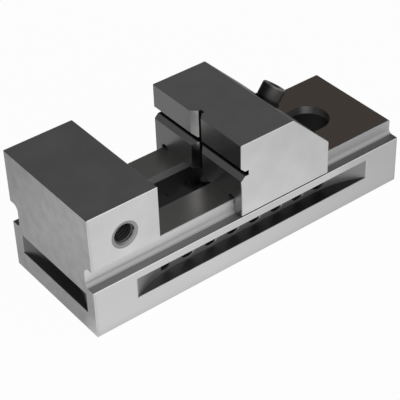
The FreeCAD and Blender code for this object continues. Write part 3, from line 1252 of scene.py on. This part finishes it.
@dataclass
class Studio:
    """Floor, surroundings, lamp and camera.

    The room's pairs are (share of the way to its pale side, grey). The floor's greys are what the metal
    sees of it, with painted shade to the right and behind and a painted shadow of the vise.
    """

    floor_size: float = 14.0
    floor_height: float = -0.1 * MM
    floor_colour: float = 0.82
    floor_roughness: float = 0.9
    floor_glow: float = 0.97
    floor_left: float = 0.96
    # the metal sees the floor darker to the right and beyond the ends, as painted shade
    floor_right: float = 0.68
    floor_outer: float = 0.57
    floor_outer_far: float = 0.38
    # painted shadow of the vise on the floor that the metal sees
    floor_shadow: float = 0.40
    floor_fades: Pair = (-0.03, 0.11)
    floor_darkens: Pair = (-0.145, -0.105)
    floor_ends: Pair = (0.05, 0.11)
    floor_turns: Pair = (-0.042, -0.02)
    pale_side: Triple = (0.1, -0.95, 0.15)
    room: tuple[Pair, ...] = ((0.0, 0.082), (0.42, 0.092), (0.62, 0.25), (0.78, 0.5), (0.88, 0.95),
                              (0.93, 0.85), (1.0, 0.8))
    lamp_place: Triple = (-0.2, -0.75, 0.55)
    lamp_aim: Triple = (0.0, 0.0, 0.03)
    lamp_size: float = 1.3
    lamp_power: float = 2.4
    camera_place: Vector = field(default_factory=lambda: Vector((-354.97, -469.05, 472.32)) * MM)
    azimuth: float = -36.49583618
    elevation: float = 37.93571234
    roll: float = -2.06901952
    lens: float = 125.96
    sensor: float = 36.0
    sight: Pair = (0.01, 50.0)

    def build(self) -> None:
        """Set up the whole studio."""
        for part in (self.floor, self.surroundings, self.lamp, self.camera):
            part()

    def floor(self) -> None:
        """Lay a pale floor that is white to the camera, keeps a soft shadow and shows in the metal."""
        clear()
        bpy.ops.mesh.primitive_plane_add(size=self.floor_size, location=(0.0, 0.0, self.floor_height))
        floor = bpy.context.object
        floor.name = "floor"
        nodes = Nodes(bpy.data.materials.new("pale_floor"))
        nodes.feed(nodes.shader, {"Base Color": self.floor_colour, "Roughness": self.floor_roughness,
                                  "Specular IOR Level": 0.0})
        path = nodes.add("ShaderNodeLightPath").outputs
        seen = nodes.any_of(path["Is Camera Ray"], path["Is Glossy Ray"], path["Is Transmission Ray"])
        colour = nodes.lay(path["Is Camera Ray"], self.mirrored(nodes), 1.0)
        glow = nodes.add("ShaderNodeEmission", {"Color": colour, "Strength": 1.0})
        share = nodes.math("MULTIPLY", seen, self.floor_glow)
        inputs = {0: share, 1: nodes.shader.outputs["BSDF"], 2: glow.outputs["Emission"]}
        mix = nodes.add("ShaderNodeMixShader", inputs)
        nodes.feed(nodes.tree.nodes["Material Output"], {"Surface": mix.outputs["Shader"]})
        coat(floor, nodes.owner)

    def mirrored(self, nodes: Nodes) -> Socket:
        """Paint shade on the floor the metal sees: pale on the near left, darker to the right and behind.

        Args:
            nodes: The floor's nodes.

        Returns:
            The colour.
        """
        x, y, _ = nodes.axes("Object")
        near = nodes.lay(nodes.rise(x, *self.floor_fades), self.floor_left, self.floor_right)
        outer = nodes.lay(nodes.rise(y, *self.floor_ends), self.floor_outer, self.floor_outer_far)
        far = nodes.lay(nodes.rise(x, *self.floor_darkens), outer, self.floor_shadow)
        return nodes.lay(nodes.rise(y, *self.floor_turns), near, far)

    def surroundings(self) -> None:
        """Surround the vise with a room that is pale on the near side and dark on the far side."""
        world = bpy.data.worlds.new("studio")
        bpy.context.scene.world = world
        nodes = Nodes(world)
        place = nodes.add("ShaderNodeTexCoord").outputs["Generated"]
        towards = nodes.add("ShaderNodeVectorMath", {0: place, 1: Vector(self.pale_side).normalized()},
                            operation="DOT_PRODUCT")
        ramp = nodes.add("ShaderNodeValToRGB", {"Fac": nodes.rise(towards.outputs["Value"], -1.0, 1.0)})
        steps = ramp.color_ramp.elements
        steps[0].position, steps[1].position = self.room[0][0], self.room[-1][0]
        for position, _ in self.room[1:-1]:
            steps.new(position)
        for step, (_, level) in zip(steps, self.room):
            step.color = (level, level, level, 1.0)
        path = nodes.add("ShaderNodeLightPath").outputs
        seen = nodes.any_of(path["Is Camera Ray"], path["Is Transmission Ray"])
        nodes.feed(nodes.shader, {"Color": nodes.lay(seen, ramp.outputs["Color"], 1.0)})

    def lamp(self) -> None:
        """Hang a large square lamp that points at the vise."""
        data = bpy.data.lights.new("key", "AREA")
        data.shape = "SQUARE"
        data.size = self.lamp_size
        data.energy = self.lamp_power
        lamp = bpy.data.objects.new("key", data)
        bpy.context.scene.collection.objects.link(lamp)
        lamp.location = self.lamp_place
        ray = Vector(self.lamp_aim) - Vector(self.lamp_place)
        lamp.rotation_euler = ray.to_track_quat("-Z", "Y").to_euler()

    def camera(self) -> None:
        """Stand the camera where the photograph was taken from."""
        azimuth, elevation, roll = (math.radians(a) for a in (self.azimuth, self.elevation, self.roll))
        forward = Vector((-math.sin(azimuth) * math.cos(elevation), math.cos(azimuth) * math.cos(elevation),
                          -math.sin(elevation)))
        level = Vector((math.cos(azimuth), math.sin(azimuth), 0.0))
        upright = level.cross(forward)
        right = math.cos(roll) * level + math.sin(roll) * upright
        up = -math.sin(roll) * level + math.cos(roll) * upright
        data = bpy.data.cameras.new("camera")
        data.lens = self.lens
        data.sensor_width = self.sensor
        data.clip_start, data.clip_end = self.sight
        camera = bpy.data.objects.new("camera", data)
        bpy.context.scene.collection.objects.link(camera)
        turned = Matrix((right, up, -forward)).transposed().to_4x4()
        camera.matrix_world = Matrix.Translation(self.camera_place) @ turned
        bpy.context.scene.camera = camera


def main() -> None:
    """Build every sub-assembly in order, then the studio."""
    logging.basicConfig(level=logging.INFO, format="%(name)s: %(message)s")
    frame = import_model()
    bpy.context.scene.view_settings.view_transform = "Standard"
    ViseBody().build(frame, BodyFinish(GROUND_BODY).material(), ThreadFinish().material())
    MovableJaw().build(frame, JawFinish(GROUND_JAW).material())
    ClampScrew().build(ScrewFinish(BLACK).material())
    NutAndWasher().build(frame, SHADED.material(), PLAIN.material())
    Studio().build()


if __name__ == "__main__":
    main()
